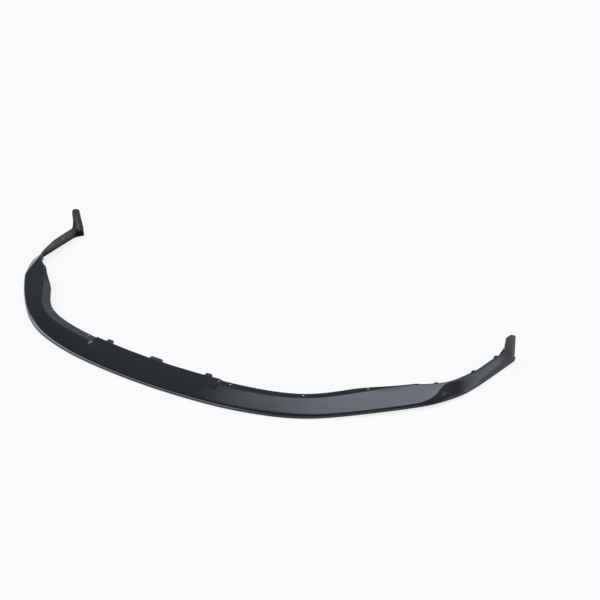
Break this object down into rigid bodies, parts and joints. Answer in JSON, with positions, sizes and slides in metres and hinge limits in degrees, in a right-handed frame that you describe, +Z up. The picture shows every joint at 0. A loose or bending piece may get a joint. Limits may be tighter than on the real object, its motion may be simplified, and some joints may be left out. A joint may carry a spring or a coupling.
{
  "type": "front splitter lip",
  "caption": "One-piece gloss black front splitter lip: curved channel moulding with a sloping face, a screw flange, hooked rear tabs, wrap-round arms and an upright fin at each end",
  "frame": {"origin": "on the ground, under the middle of the lip's plan", "axes": "+X to the car's left side along the lip's width, +Y to the rear of the car, +Z up"},
  "size_m": [1.7626, 0.6613, 0.096],
  "materials": {
    "gloss_black_abs": "gloss"
  },
  "bodies": {
    "root": {"front_lip": "gloss_black_abs"}
  },
  "joints": []
}
